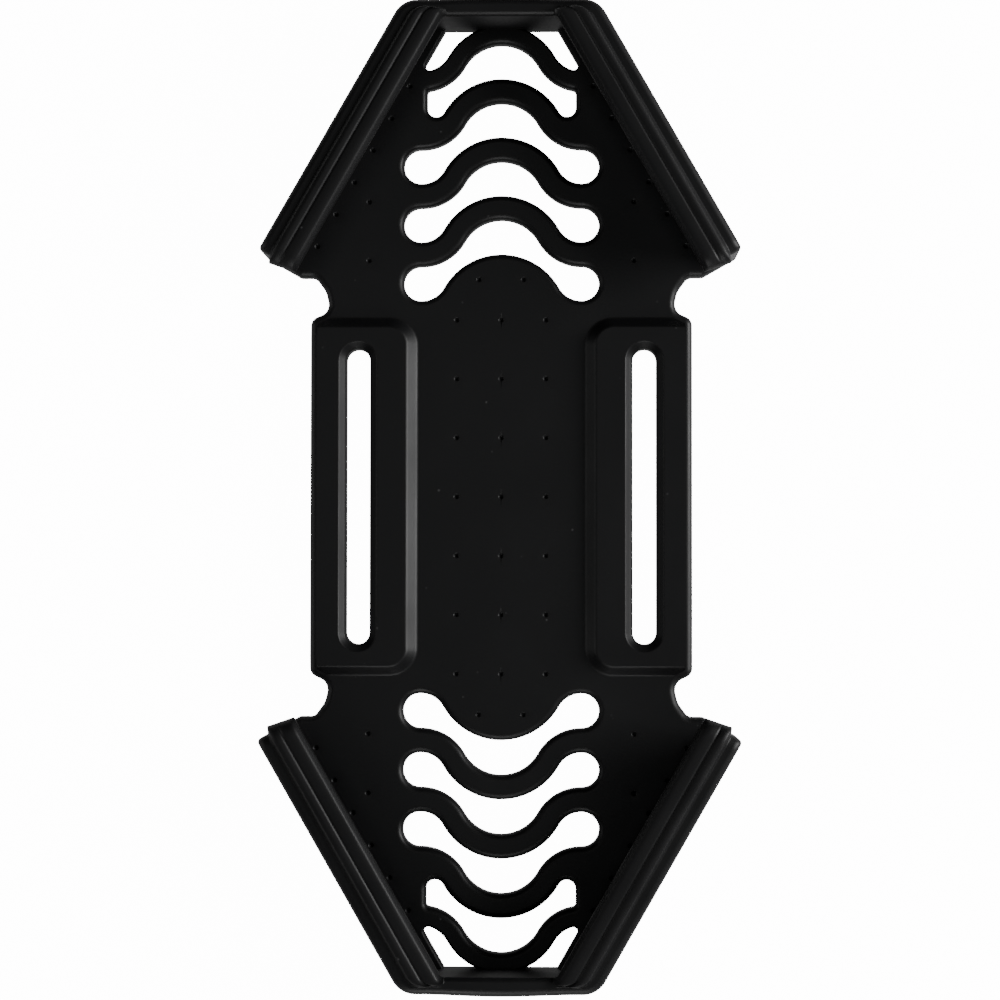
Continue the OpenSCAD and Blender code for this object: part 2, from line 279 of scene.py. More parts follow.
for name, curve in (("gap", gap(0, 0)), ("square gap", square_gap(3, 0)), ("corner hole", corner_hole(0)),
                    ("slot", slot(0)), ("notch", notch(0))):
    xs = curve[0][:, 0]
    print(name, len(xs), "points, x", xs.min().round(2), "to", xs.max().round(2))

# %% [markdown]
# ## The top of the sheet as a height field
# `H(x, y)` is the sheet's level, plus the pad's soft ramp, less the dimples. Its gradient gives the
# normals, so the shading follows the formula and not the triangles.

# %%
PAD_CORNER, PAD_RUN, PAD_END_RUN = 4.0, 1.9, 1.6
DIMPLE_R, DIMPLE_D = 0.42, 0.4


def ramp(t):
    """A straight ramp from 0 to 1 whose two ends are rounded over a quarter of its run."""
    t = np.clip(t, 0, 1)
    q = 0.25
    rise = 1 / (1 - q)
    return np.where(t < q, rise * t * t / (2 * q),
                    np.where(t > 1 - q, 1 - rise * (1 - t) ** 2 / (2 * q), rise * (t - q / 2)))


def pad_depth(x, y):
    """How far (x, y) is inside the pad's foot, as a share of the slope's run there."""
    in_x, in_y = x - PAD_X, PAD_Y - np.abs(y)
    qx, qy = np.maximum(PAD_CORNER - in_x, 0), np.maximum(PAD_CORNER - in_y, 0)
    dist = np.where((qx > 0) & (qy > 0), PAD_CORNER - np.hypot(qx, qy), np.minimum(in_x, in_y))
    share = qx / np.maximum(qx + qy, 1e-9)
    return dist / (PAD_END_RUN + (PAD_RUN - PAD_END_RUN) * share)


def dimple_centres():
    """Dimples of the upper right quarter: columns on the panel, two on the web, a row beside the lip."""
    panel = [(x * 6.05, y * 8.0) for x in (0, 1) for y in range(4)]
    web = [(18.0, 32.1), (18.0, 40.1), (3.025, TONGUE - 3.5)]
    row = [tuple(on_slant(SLANT_L - 8.5 - 5.04 * k, 5.5)) for k in range(6)]
    return np.array(panel + web + row)


DIMPLES = dimple_centres()


def height(x, y):
    """H(x, y) = sheet + pad rise * ramp - sum of dimples depth * cos^2."""
    h = SHEET + (PAD_Z - SHEET) * ramp(pad_depth(x, y))
    r = np.min(np.hypot(x[..., None] - DIMPLES[:, 0], y[..., None] - DIMPLES[:, 1]), -1)
    return h - DIMPLE_D * np.cos(np.pi / 2 * np.clip(r / DIMPLE_R, 0, 1)) ** 2


def height_normal(x, y, step=0.02):
    """Unit normal (-dH/dx, -dH/dy, 1) from central differences."""
    gx = (height(x + step, y) - height(x - step, y)) / (2 * step)
    gy = (height(x, y + step) - height(x, y - step)) / (2 * step)
    n = np.stack([-gx, -gy, np.ones_like(gx)], -1)
    return n / np.linalg.norm(n, axis=-1, keepdims=True)


print("pad", PAD_X, "to", WAIST, "dimples in a quarter", len(DIMPLES))

# %% [markdown]
# ## Patches
# The skin is a list of patches. Each has points, normals, triangles or quads, and a tag that says which
# piece it goes to. A patch's faces are turned so that they look the way of its normals.

# %%
patches = []


def add(points, normals, faces, tag):
    """Keeps a patch, with each face turned to look along the mean of its corners' normals."""
    faces = np.asarray(faces, int)
    p = points[faces]
    n = np.cross(p[:, 1] - p[:, 0], p[:, -1] - p[:, 0])
    if faces.shape[1] == 4:
        n = np.cross(p[:, 2] - p[:, 0], p[:, 3] - p[:, 1])
    wrong = (n * normals[faces].mean(1)).sum(1) < 0
    faces[wrong] = faces[wrong][:, ::-1]
    size = np.linalg.norm(n, axis=1)
    patches.append((points, normals, faces[size > 1e-9], tag))


def grid(points, normals, tag):
    """Adds a grid of points (rows, columns, 3) as quads."""
    rows, cols = points.shape[:2]
    i = np.arange(rows * cols).reshape(rows, cols)
    quads = np.stack([i[:-1, :-1], i[1:, :-1], i[1:, 1:], i[:-1, 1:]], -1).reshape(-1, 4)
    add(points.reshape(-1, 3), normals.reshape(-1, 3), quads, tag)


def inside(p, loop):
    """Even-odd test of points against a closed loop."""
    a, b = loop, np.roll(loop, -1, 0)
    dy = np.where(b[:, 1] == a[:, 1], 1e-12, b[:, 1] - a[:, 1])
    crosses = (a[:, 1] > p[:, None, 1]) != (b[:, 1] > p[:, None, 1])
    x = a[:, 0] + (p[:, None, 1] - a[:, 1]) / dy * (b[:, 0] - a[:, 0])
    return (crosses & (p[:, None, 0] < x)).sum(1) % 2 == 1


def fill(outer, holes=(), lines=(), loose=None):
    """Triangles between an outer loop and its holes, with extra lines and loose points kept as vertices."""
    pts, edges, base = [], [], 0
    for shape, closed in [(outer, True)] + [(h, True) for h in holes] + [(s, False) for s in lines]:
        n = len(shape)
        pts.append(shape)
        i = np.arange(n if closed else n - 1)
        edges.append(base + np.stack([i, (i + 1) % n], 1))
        base += n
    if loose is not None and len(loose):
        pts.append(loose)
    out = delaunay_2d_cdt([Vector(q) for q in np.concatenate(pts)],
                          np.concatenate(edges).tolist(), [], 0, 1e-5)
    verts = np.array([tuple(v) for v in out[0]])
    tris = np.array([f for f in out[2] if len(f) == 3])
    mid = verts[tris].mean(1)
    keep = inside(mid, outer)
    for h in holes:
        keep &= ~inside(mid, h)
    a, b, c = verts[tris].transpose(1, 0, 2)
    area = np.abs((b - a)[:, 0] * (c - a)[:, 1] - (b - a)[:, 1] * (c - a)[:, 0]) / 2
    return verts, tris[keep & (area > 1e-6)]


def rim(curve, profile):
    """A rounded rim: at offset d of the curve the height is z, and the normal leans out by the angle a.

    profile is a list of (d, z, a). A height above zero is measured up from the back face. The others are
    measured down from H(x, y) on the innermost line.
    """
    inner = curve(profile[0][0])[0]
    h = height(inner[:, 0], inner[:, 1])
    rows, norms = [], []
    for d, z, a in profile:
        p, n = curve(d)
        level = h + z if z <= 0 else np.full(len(p), float(z))
        rows.append(np.column_stack([p, level]))
        norms.append(np.column_stack([n * math.sin(a), np.full(len(p), math.cos(a))]))
    grid(np.array(rows), np.array(norms), "sheet")


def rim_profile(f, foot=FOOT, n=6):
    """Quarter round of radius f from the top, a straight wall, and a small quarter round at the back."""
    a = np.linspace(0, math.pi / 2, n)
    upper = [(f * (1 - math.sin(t)), -f * (1 - math.cos(t)) - 1e-9, t) for t in a]
    b = np.linspace(math.pi / 2, math.pi, 4)
    lower = [(foot * (1 - math.sin(t)), foot * (1 + math.cos(t)) + 1e-9, t) for t in b]
    return upper + lower


print("rim profile rows", len(rim_profile(FILLET)))

# %% [markdown]
# ## Rims of the gaps, the small holes, the notches and the slots
# The slot has a sloped rim instead of a round one: it drops a millimetre over a millimetre.

# %%
for k in range(3):
    rim(lambda d, k=k: gap(k, d), rim_profile(FILLET))
rim(lambda d: square_gap(3, d), rim_profile(FILLET))
rim(corner_hole, rim_profile(HOLE_FILLET))
rim(notch, rim_profile(NOTCH_FILLET, n=8))


def slot_profile():
    """The slot's soft sloped rim, then its wall and the small round at the back."""
    lean = math.radians(45)
    slope = [(SLOT_RIM + SLOT_EASE, -1e-9, 0), (SLOT_RIM, -0.03, lean * 0.5),
             (SLOT_RIM - SLOT_EASE, -0.13, lean), (0.2, -0.84, lean), (0.06, -1.0, math.radians(65)),
             (0, -1.2, math.pi / 2)]
    b = np.linspace(math.pi / 2, math.pi, 4)
    return slope + [(FOOT * (1 - math.sin(t)), FOOT * (1 + math.cos(t)) + 1e-9, t) for t in b]


rim(slot, slot_profile())
print("rims", len(patches))

# %% [markdown]
# ## The wall and the lip
# One profile is carried along the slanted side, round the end corner and along the end wall. Line `j` of
# the profile keeps the distance `u_j` from the slanted side and `e_j` from the short end. It turns the corner
# on an arc of its own radius. Past the corner its height goes over from the lip's `z_j` to the plain wall's.

# %%
def lip_profile():
    """Lines of the lip's section from the back, up the outer face, over the beads and down the inner face.

    Each row is (u, z, e, z on the end wall, corner radius, part), where part 0 is the wall and 1 the lip.
    """
    rows = []
    corner_r = 3.5
    foot = [(FOOT * (1 - math.sin(t)), FOOT * (1 - math.cos(t))) for t in np.linspace(0, math.pi / 2, 4)]
    for u, z in foot:
        rows.append((u, z, u, z, corner_r - u, 0))
    rim_r, end_r = 0.95, 0.95
    for t in np.linspace(0.12, 1, 6):
        rows.append((0, FOOT + (RIM_Z - rim_r - FOOT) * t, 0, FOOT + (END_Z - end_r - FOOT) * t, corner_r, 0))
    for t in np.linspace(0, math.pi / 2, 7)[1:]:
        s, c = 1 - math.cos(t), math.sin(t)
        rows.append((rim_r * s, RIM_Z - rim_r + rim_r * c, end_r * s, END_Z - end_r + end_r * c,
                     corner_r - rim_r * s, 0))
    low_z, crown = RIM_Z, BEAD_Z
    top_line, _ = rounded([(1.0, low_z), (1.72, low_z, 0.25), (2.15, crown - 0.14, 0.3),
                           (2.65, crown + 0.01, 0.9), (3.22, crown - 0.12, 0.3),
                           (3.45, crown - 0.3, 0.12), (3.68, crown - 0.16, 0.3),
                           (4.6, crown - 0.08, 1.6), (5.3, crown - 0.25, 0.6), (LIP_W, crown - 1.1, 0.5),
                           (LIP_W, UNDER_Z + 0.3)], 0.0, 14, 0.45)
    u_end, flat_to, inner_r = 5.3, 1.6, 0.7
    for u, z in top_line:
        share = min((u - rim_r) / (u_end - rim_r), 1)
        past = max(0.0, (u - u_end) / (LIP_W - u_end))
        e = end_r + (flat_to - end_r) * share
        ez = END_Z
        if past > 0:
            w = min(past, 1) * math.pi / 2
            e, ez = flat_to + inner_r * math.sin(w), END_Z - inner_r * (1 - math.cos(w))
            if u > LIP_W - 1e-6:
                ez = END_Z - inner_r - 0.5 * (crown - 1.1 - z)
        rows.append((u, z, e, ez, max(3.3 - 0.42 * u, 0.9), 0 if u <= WALL_T else 1))
    e_in = HALF_L - END_IN
    under = [(LIP_W - 0.3, UNDER_Z), (4.5, UNDER_Z), (3.2, UNDER_Z), (2.6, UNDER_Z), (WALL_T + 0.45, UNDER_Z),
             (WALL_T + 0.15, UNDER_Z - 0.12), (WALL_T, UNDER_Z - 0.4)]
    for i, (u, z) in enumerate(under):
        rows.append((u, z, e_in, END_Z - 1.5 - 0.12 * i, 0.6, 1 if i < 6 else 0))
    for t in np.linspace(0, 1, 6)[1:]:
        a, b = under[-1][1], SHEET
        rows.append((WALL_T, a + (b - a) * t, e_in, END_Z - 2.4 + (b - END_Z + 2.4) * t, 0.6, 0))
    return np.array(rows)


PROFILE = lip_profile()
print("profile lines", len(PROFILE), "of them on the lip", int(PROFILE[:, 5].sum()))

# %%
def smooth(t):
    """Smoothstep of t held between 0 and 1."""
    t = np.clip(t, 0, 1)
    return t * t * (3 - 2 * t)


END_R, END_SPAN, GRIP_R, REACH, SKEW, BOW = 0.35, 1.9, 0.6, 0.9, 0.8, 0.3
ROOT_ROWS = 10
FADE_FROM, FADE_TO = 11.4, 7.2


def wall_sweep():
    """Grid of points (station, line, 3) of the wall and lip, and the row of stations that ends the lip."""
    u, z, e, ze, r = PROFILE[:, :5].T
    rows = []
    # the free end turns down and in: v = R (1 - sin a), heights shrink towards the underside by cos a
    for a in np.linspace(math.pi / 2, 0, 9):
        v = END_SPAN * (1 - math.sin(a))
        g = END_R + (1 - END_R) * math.cos(a)
        near_end = max(0.0, 1 - v / GRIP_R)
        uu = u + GRIP_R * (1 - math.sqrt(1 - near_end * near_end)) * np.clip(1 - u / WALL_T, 0, 1)
        zz = np.where(z > UNDER_Z, UNDER_Z + (z - UNDER_Z) * g, z)
        across = np.clip((u - WALL_T - 0.5) / (LIP_W - WALL_T), 0, 1)
        reach = REACH * smooth((u - WALL_T) / 0.5) - SKEW * across
        tip = reach * smooth((z - UNDER_Z) / 1.5) * (1 - v / END_SPAN)
        rows.append(np.column_stack([FREE + np.outer(v - tip, UP_SLANT) + np.outer(uu, INWARD), zz]))
    free_part = np.linspace(END_SPAN, LIP_L - ROOT_L, 15)[1:]
    root_part = np.linspace(LIP_L - ROOT_L, LIP_L, ROOT_ROWS + 1)[1:]
    for v in np.concatenate([free_part, root_part]):
        rows.append(np.column_stack([FREE + v * UP_SLANT + np.outer(u, INWARD), z]))
    lip_end = len(rows) - 1
    # each line's corner: where its slanted part meets its part along the end
    y_end = HALF_L - e
    v_corner = (y_end - FREE[1] - u * INWARD[1]) / UP_SLANT[1]
    turn = math.pi / 2 - SLANT
    cut = r * math.tan(turn / 2)
    v0 = v_corner - cut
    corner = FREE + np.outer(v_corner, UP_SLANT) + np.outer(u, INWARD)
    for t in (0.3, 0.6):
        v = LIP_L + (v0 - LIP_L) * t
        rows.append(np.column_stack([FREE + np.outer(v, UP_SLANT) + np.outer(u, INWARD), z]))
    start = FREE + np.outer(v0, UP_SLANT) + np.outer(u, INWARD)
    centre = start + r[:, None] * INWARD
    for a in np.linspace(0, turn, 13):
        ray = -math.cos(a) * INWARD + math.sin(a) * UP_SLANT
        rows.append(np.column_stack([centre + r[:, None] * ray, z]))
    x_end = corner[:, 0] - cut
    thin_out = np.clip(1 - e / (HALF_L - END_IN), 0, 1)
    for t in np.linspace(0, 1, 11)[1:]:
        x = x_end + (FADE_TO - 0.4 - x_end) * t
        k = smooth((x - FADE_TO) / (FADE_FROM - FADE_TO))
        bow = BOW * thin_out * (1 - np.clip(x / x_end, 0, 1) ** 2) ** 2
        rows.append(np.column_stack([x, y_end + bow, ze + (z - ze) * k]))
    for x in np.linspace(FADE_TO - 0.4, 0, 8)[1:]:
        bow = BOW * thin_out * (1 - (x / x_end) ** 2) ** 2
        rows.append(np.column_stack([np.full(len(u), x), y_end + bow, ze]))
    return np.array(rows), lip_end


def along(p, axis):
    """Direction at each grid point: the sum of the unit directions of the two segments that meet there."""
    d = np.diff(p, axis=axis)
    d /= np.maximum(np.linalg.norm(d, axis=-1, keepdims=True), 1e-12)
    first, last = np.take(d, [0], axis), np.take(d, [-1], axis)
    return np.concatenate([first, d], axis) + np.concatenate([d, last], axis)


def grid_normals(p):
    """Normals of a grid: the cross product of its two directions."""
    n = np.cross(along(p, 0), along(p, 1))
    return n / np.maximum(np.linalg.norm(n, axis=-1, keepdims=True), 1e-12)


WALL, LIP_END = wall_sweep()
wall_n = grid_normals(WALL)
if wall_n[20, 8] @ np.append(-INWARD, 0) < 0:
    wall_n = -wall_n
wall_n[-1, :, 0] = 0
wall_n /= np.maximum(np.linalg.norm(wall_n, axis=-1, keepdims=True), 1e-9)
on_lip = np.flatnonzero(PROFILE[:, 5] > 0)
A, B = on_lip[0] - 1, on_lip[-1] + 1
ROOT = LIP_END - ROOT_ROWS
for rows, cols, tag in (
    ((0, None), (0, A + 1), "sheet"), ((0, None), (B, None), "sheet"),
    ((0, ROOT + 1), (A, B + 1), "lip"), ((ROOT, LIP_END + 1), (A, B + 1), "root"),
    ((LIP_END, None), (A, B + 1), "sheet"),
):
    part = (slice(*rows), slice(*cols))
    grid(WALL[part], wall_n[part], tag)
print("wall grid", WALL.shape, "lip ends at station", LIP_END)

# %% [markdown]
# ## Flat closures
# The free end of each wall, the wall's foot inside the corner hole, and two slivers where the
# sheet's rounded edge runs into the wall.

# %%
def cap(loop3, normal, tag, axis_u, axis_v):
    """Fills a flat closed loop of 3-D points, seen along two axes."""
    flat = np.stack([loop3 @ axis_u, loop3 @ axis_v], 1)
    verts, tris = fill(flat)
    origin = loop3.mean(0)
    n = np.asarray(normal, float)
    w = origin @ n
    pts = verts[:, :1] * axis_u + verts[:, 1:] * axis_v + w * n
    add(pts, np.tile(n, (len(pts), 1)), tris, tag)


UP3, IN3, Z3 = np.append(UP_SLANT, 0), np.append(INWARD, 0), np.array([0.0, 0, 1])


def end_cap():
    """The free end face: the first station of the wall's sweep, closed down to the back along the wall."""
    first = WALL[0].copy()
    foot_in = np.append(on_slant(0, WALL_T), 0)
    pts = np.concatenate([first, [foot_in]])
    uz = np.stack([(pts - np.append(FREE, 0)) @ IN3, pts[:, 2]], 1)
    verts, tris = fill(uz)
    # the bead's tip stands forward of the flat face, so the cap's points take their own v back
    v_of = (pts - np.append(FREE, 0)) @ UP3
    near = np.argmin(np.hypot(verts[:, None, 0] - uz[:, 0], verts[:, None, 1] - uz[:, 1]), 1)
    p3 = np.append(FREE, 0) + verts[:, :1] * IN3 + verts[:, 1:] * Z3 + v_of[near][:, None] * UP3
    mid = verts[tris].mean(1)
    is_lip = (mid[:, 1] > UNDER_Z - 0.05) & (mid[:, 0] > WALL_T)
    n = np.tile(-UP3, (len(p3), 1))
    for part, tag in ((is_lip, "lip"), (~is_lip, "sheet")):
        if part.any():
            add(p3, n, tris[part], tag)


end_cap()


def hole_foot():
    """The end wall's inner face below the sheet's top, inside the corner hole."""
    prof = rim_profile(HOLE_FILLET)
    ends = []
    for d, z, _ in prof:
        p = corner_hole(d)[0]
        ends.append((p[0, 0], p[-1, 0], SHEET + z if z <= 0 else z))
    ends = np.array(ends)
    left = np.column_stack([ends[:, 0], np.full(len(ends), END_IN), ends[:, 2]])
    right = np.column_stack([ends[:, 1], np.full(len(ends), END_IN), ends[:, 2]])
    cap(np.concatenate([left, right[::-1]]), (0, -1, 0), "sheet", np.array([1.0, 0, 0]), Z3)


hole_foot()


def edge_sliver():
    """Where the free end's rounded edge meets the wall: the piece of the wall's inner face that shows."""
    prof = rim_profile(NOTCH_FILLET, n=8)
    pts = [np.append(on_slant(d, WALL_T), SHEET + z if z <= 0 else z) for d, z, _ in prof]
    upper = [p for p, q in zip(pts, prof) if q[1] <= 0]
    lower = [p for p, q in zip(pts, prof) if q[1] > 0]
    cap(np.array(upper + [np.append(on_slant(0, WALL_T), SHEET)]), IN3, "sheet", UP3, Z3)
    cap(np.array(lower + [np.append(on_slant(0, WALL_T), 0)]), IN3, "sheet", UP3, Z3)


edge_sliver()
print("patches", len(patches))

# %% [markdown]
# ## Top and back of the sheet
# The top is bounded by the rims' inner lines and by the foot of the walls. Rings round each dimple and
# contour lines on the pad's slopes give the height field the points it needs.

# %%
def plan(d_gap, d_notch, d_slot, d_hole, wall_line):
    """Outer loop and holes of the sheet in the quarter, at given offsets of its rims."""
    edge = notch(d_notch)[0]
    hole = corner_hole(d_hole)[0]
    outer = np.concatenate([[[0, 0]], edge, wall_line, [[0, wall_line[-1][1]]]])
    holes = [gap(k, d_gap)[0] for k in range(3)] + [square_gap(3, d_gap)[0], slot(d_slot)[0], hole]
    return outer, holes


def rings(radii, n=18):
    """Circles of points round every dimple, and their centres."""
    a = np.linspace(0, 2 * np.pi, n + 1)[:-1]
    ring = np.stack([np.cos(a), np.sin(a)], 1)
    pts = [DIMPLES[:, None] + r * ring for r in radii]
    return np.concatenate([p.reshape(-1, 2) for p in pts] + [DIMPLES])


def pad_contour(share):
    """The line inside the pad's slope where its depth is the given share of the run."""
    run_x, run_y = PAD_RUN * share, PAD_END_RUN * share
    c = (PAD_X + PAD_CORNER, PAD_Y - PAD_CORNER)
    a = np.linspace(math.pi, math.pi / 2, 15)
    q = np.stack([np.cos(a), np.sin(a)], 1)
    w = np.abs(q[:, 0]) / (np.abs(q[:, 0]) + q[:, 1])
    turn = np.array(c) + (PAD_CORNER - share * (PAD_END_RUN + (PAD_RUN - PAD_END_RUN) * w))[:, None] * q
    side = np.stack([np.full(14, PAD_X + run_x), np.linspace(0, c[1], 14)], 1)
    far = np.linspace(c[0], WAIST + 1, 12)
    return np.concatenate([side, turn[1:], np.stack([far[1:], np.full(11, PAD_Y - run_y)], 1)])


def clear(points, outer, holes):
    """Only the points inside the outer loop and outside the holes."""
    keep = inside(points, outer)
    for h in holes:
        keep &= ~inside(points, h)
    return points[keep]


wall_foot = WALL[:, -1, :2]
start = np.argmax((wall_foot - FREE) @ UP_SLANT > NOTCH_FILLET + 0.01)
outer, holes = plan(FILLET, NOTCH_FILLET, SLOT_RIM + SLOT_EASE, HOLE_FILLET, wall_foot[start:])
spacing = 1.6
lattice = np.stack(np.meshgrid(np.arange(0, 33, spacing), np.arange(0, 66, spacing)), -1).reshape(-1, 2)
dimple_rings = rings(DIMPLE_R * np.array([1, 0.75, 0.5, 0.25]))
loose = clear(np.concatenate([lattice, dimple_rings]), outer, holes)
cut = np.array([[0, CUT_Y], [WAIST - NOTCH_FILLET, CUT_Y]])
contours = [pad_contour(s) for s in (0, 0.08, 0.17, 0.25, 0.5, 0.75, 0.83, 0.92, 1)]

verts, tris = fill(outer, holes, [cut] + contours, loose)
top_z = height(verts[:, 0], verts[:, 1])
add(np.column_stack([verts, top_z]), height_normal(verts[:, 0], verts[:, 1]), tris, "sheet")
print("top", len(verts), "points", len(tris), "triangles")

wall_back = WALL[:, 0, :2]
outer, holes = plan(FOOT, FOOT, FOOT, FOOT, np.concatenate([[on_slant(0, WALL_T)], wall_back]))
loose = clear(lattice, outer, holes)
verts, tris = fill(outer, holes, [np.array([[0, CUT_Y], [WAIST - FOOT, CUT_Y]])], loose)
add(np.column_stack([verts, np.zeros(len(verts))]), np.tile([0.0, 0, -1], (len(verts), 1)), tris, "sheet")
print("back", len(verts), "points", len(tris), "triangles")

# %% [markdown]
# ## Pieces
# The four mirrored quarters are shared out: the middle goes to the middle body; each quarter of the ends,
# each lip and each lip's root is a mesh of its own, fixed in place. Every vertex carries its formula's
# normal, so the seams between the pieces don't show.

# %%
def quarter_faces():
    """All patches as one list of points, normals, and faces padded to four corners."""
    pts, nrm, faces, tags = [], [], [], []
    base = 0
    for p, n, f, tag in patches:
        pts.append(p)
        nrm.append(n)
        pad = f if f.shape[1] == 4 else np.column_stack([f, f[:, -1]])
        faces.append(pad + base)
        tags += [tag] * len(f)
        base += len(p)
    return np.concatenate(pts), np.concatenate(nrm), np.concatenate(faces), np.array(tags)


Q_PTS, Q_NRM, Q_FACES, Q_TAGS = quarter_faces()
in_middle = (Q_TAGS == "sheet") & (Q_PTS[Q_FACES][:, :, 1].max(1) <= CUT_Y + 1e-4)
crossing = (Q_TAGS == "sheet") & (Q_PTS[Q_FACES][:, :, 1].min(1) < CUT_Y - 1e-3) & ~in_middle
print("quarter", len(Q_PTS), "points", len(Q_FACES), "faces; across the cut", int(crossing.sum()))


WELD_STEPS = 2000


def build(name, groups):
    """One mesh from quarters: groups are (sign x, sign y, mask of the quarter's faces)."""
    all_p, all_n, loops, starts, base = [], [], [], [], 0
    for sx, sy, mask in groups:
        f = Q_FACES[mask]
        flip = sx * sy < 0
        p = Q_PTS * [sx, sy, 1]
        n = Q_NRM * [sx, sy, 1]
        tri = f[:, 2] == f[:, 3]
        for part, width in ((f[tri][:, :3], 3), (f[~tri], 4)):
            if not len(part):
                continue
            part = part[:, ::-1] if flip else part
            loops.append((part + base).reshape(-1))
            starts.append(np.full(len(part), width))
        all_p.append(p)
        all_n.append(n)
        base += len(Q_PTS)
    pts, nrm = np.concatenate(all_p), np.concatenate(all_n)
    idx = np.concatenate(loops)
    width = np.concatenate(starts)
    loop_n = nrm[idx]
    # points that land on the same step of a millimetre share one vertex
    key = np.round(pts * WELD_STEPS).astype(np.int64)
    used, inverse = np.unique(key[idx], axis=0, return_inverse=True)
    inverse = inverse.reshape(-1)
    where = np.zeros(len(used), int)
    where[inverse] = idx
    verts = pts[where] * MM
    # faces that collapse when their points meet are left out
    ends = np.cumsum(width)
    begin = ends - width
    good = []
    for w in (3, 4):
        sel = np.flatnonzero(width == w)
        c = inverse[begin[sel][:, None] + np.arange(w)]
        same = sum((c[:, i] == c[:, (i + 1) % w]) for i in range(w))
        good.append(sel[same == 0])
        if w == 4:
            folded = sel[same == 1]
    order = np.sort(np.concatenate(good))
    pick = np.concatenate([np.arange(begin[i], ends[i]) for i in order])
    corner = [inverse[pick]]
    normals = [loop_n[pick]]
    sizes = [width[order]]
    for i in folded:
        c = np.arange(begin[i], ends[i])
        keep = c[inverse[c] != np.roll(inverse[c], -1)]
        corner.append(inverse[keep])
        normals.append(loop_n[keep])
        sizes.append([3])
    corner, normals, sizes = np.concatenate(corner), np.concatenate(normals), np.concatenate(sizes)
    mesh = bpy.data.meshes.new(name)
    mesh.vertices.add(len(verts))
    mesh.vertices.foreach_set("co", verts.astype(np.float32).ravel())
    mesh.loops.add(len(corner))
    mesh.loops.foreach_set("vertex_index", corner.astype(np.int32))
    mesh.polygons.add(len(sizes))
    mesh.polygons.foreach_set("loop_start", (np.cumsum(sizes) - sizes).astype(np.int32))
    mesh.polygons.foreach_set("loop_total", sizes.astype(np.int32))
    mesh.polygons.foreach_set("use_smooth", np.ones(len(sizes), bool))
    mesh.update()
    mesh.normals_split_custom_set(normals.astype(np.float32).tolist())
    obj = bpy.data.objects.new(name, mesh)
    bpy.context.scene.collection.objects.link(obj)
    print(name, len(verts), "vertices", len(sizes), "faces")
    return obj


SIGN = {"upper": 1, "lower": -1, "right": 1, "left": -1}
middle = build("middle_skin", [(sx, sy, in_middle) for sx in (1, -1) for sy in (1, -1)])
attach(middle, "middle")
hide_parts("centre_panel", "left_strap_pad", "right_strap_pad")

rubber_pieces = [middle]
for end in ("upper", "lower"):
    for side in ("left", "right"):
        sx, sy = SIGN[side], SIGN[end]
        skin = build(f"{end}_{side}_skin", [(sx, sy, (Q_TAGS == "sheet") & ~in_middle)])
        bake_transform(skin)
        nodes = [f"{end}_{side}_{n}" for n in ("neck", "web", "side_wall", "corner")]
        if side == "right":
            nodes += [f"{end}_end_wall"] + [f"{end}_wave_bar_{k}" for k in (1, 2, 3, 4)]
        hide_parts(*nodes)
        lip = build(f"{end}_{side}_lip_skin", [(sx, sy, Q_TAGS == "lip")])
        root = build(f"{end}_{side}_lip_root", [(sx, sy, Q_TAGS == "root")])
        # points of a fold line that runs along the wall, then slants across the lip to the stiff corner;
        # nothing below uses them
        lean = math.atan2(LIP_W - WALL_T, ROOT_L)
        a0 = on_slant(LIP_L - ROOT_L, WALL_T)
        a1 = a0 + LIP_BEND * INWARD
        across = math.cos(lean) * INWARD - math.sin(lean) * UP_SLANT
        b1 = a0 + LIP_BEND * math.cos(lean) * across
        for piece, far in ((lip, a1), (root, b1)):
            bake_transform(piece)
        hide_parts(f"{end}_{side}_lip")
        rubber_pieces += [skin, lip, root]
print("pieces", len(rubber_pieces))

# %% [markdown]
# ## Silicone
# A dark satin rubber. The group gives it faint flow lines along the mould, patches of dull and glossy skin,
# a fine grain, and specks of dust.

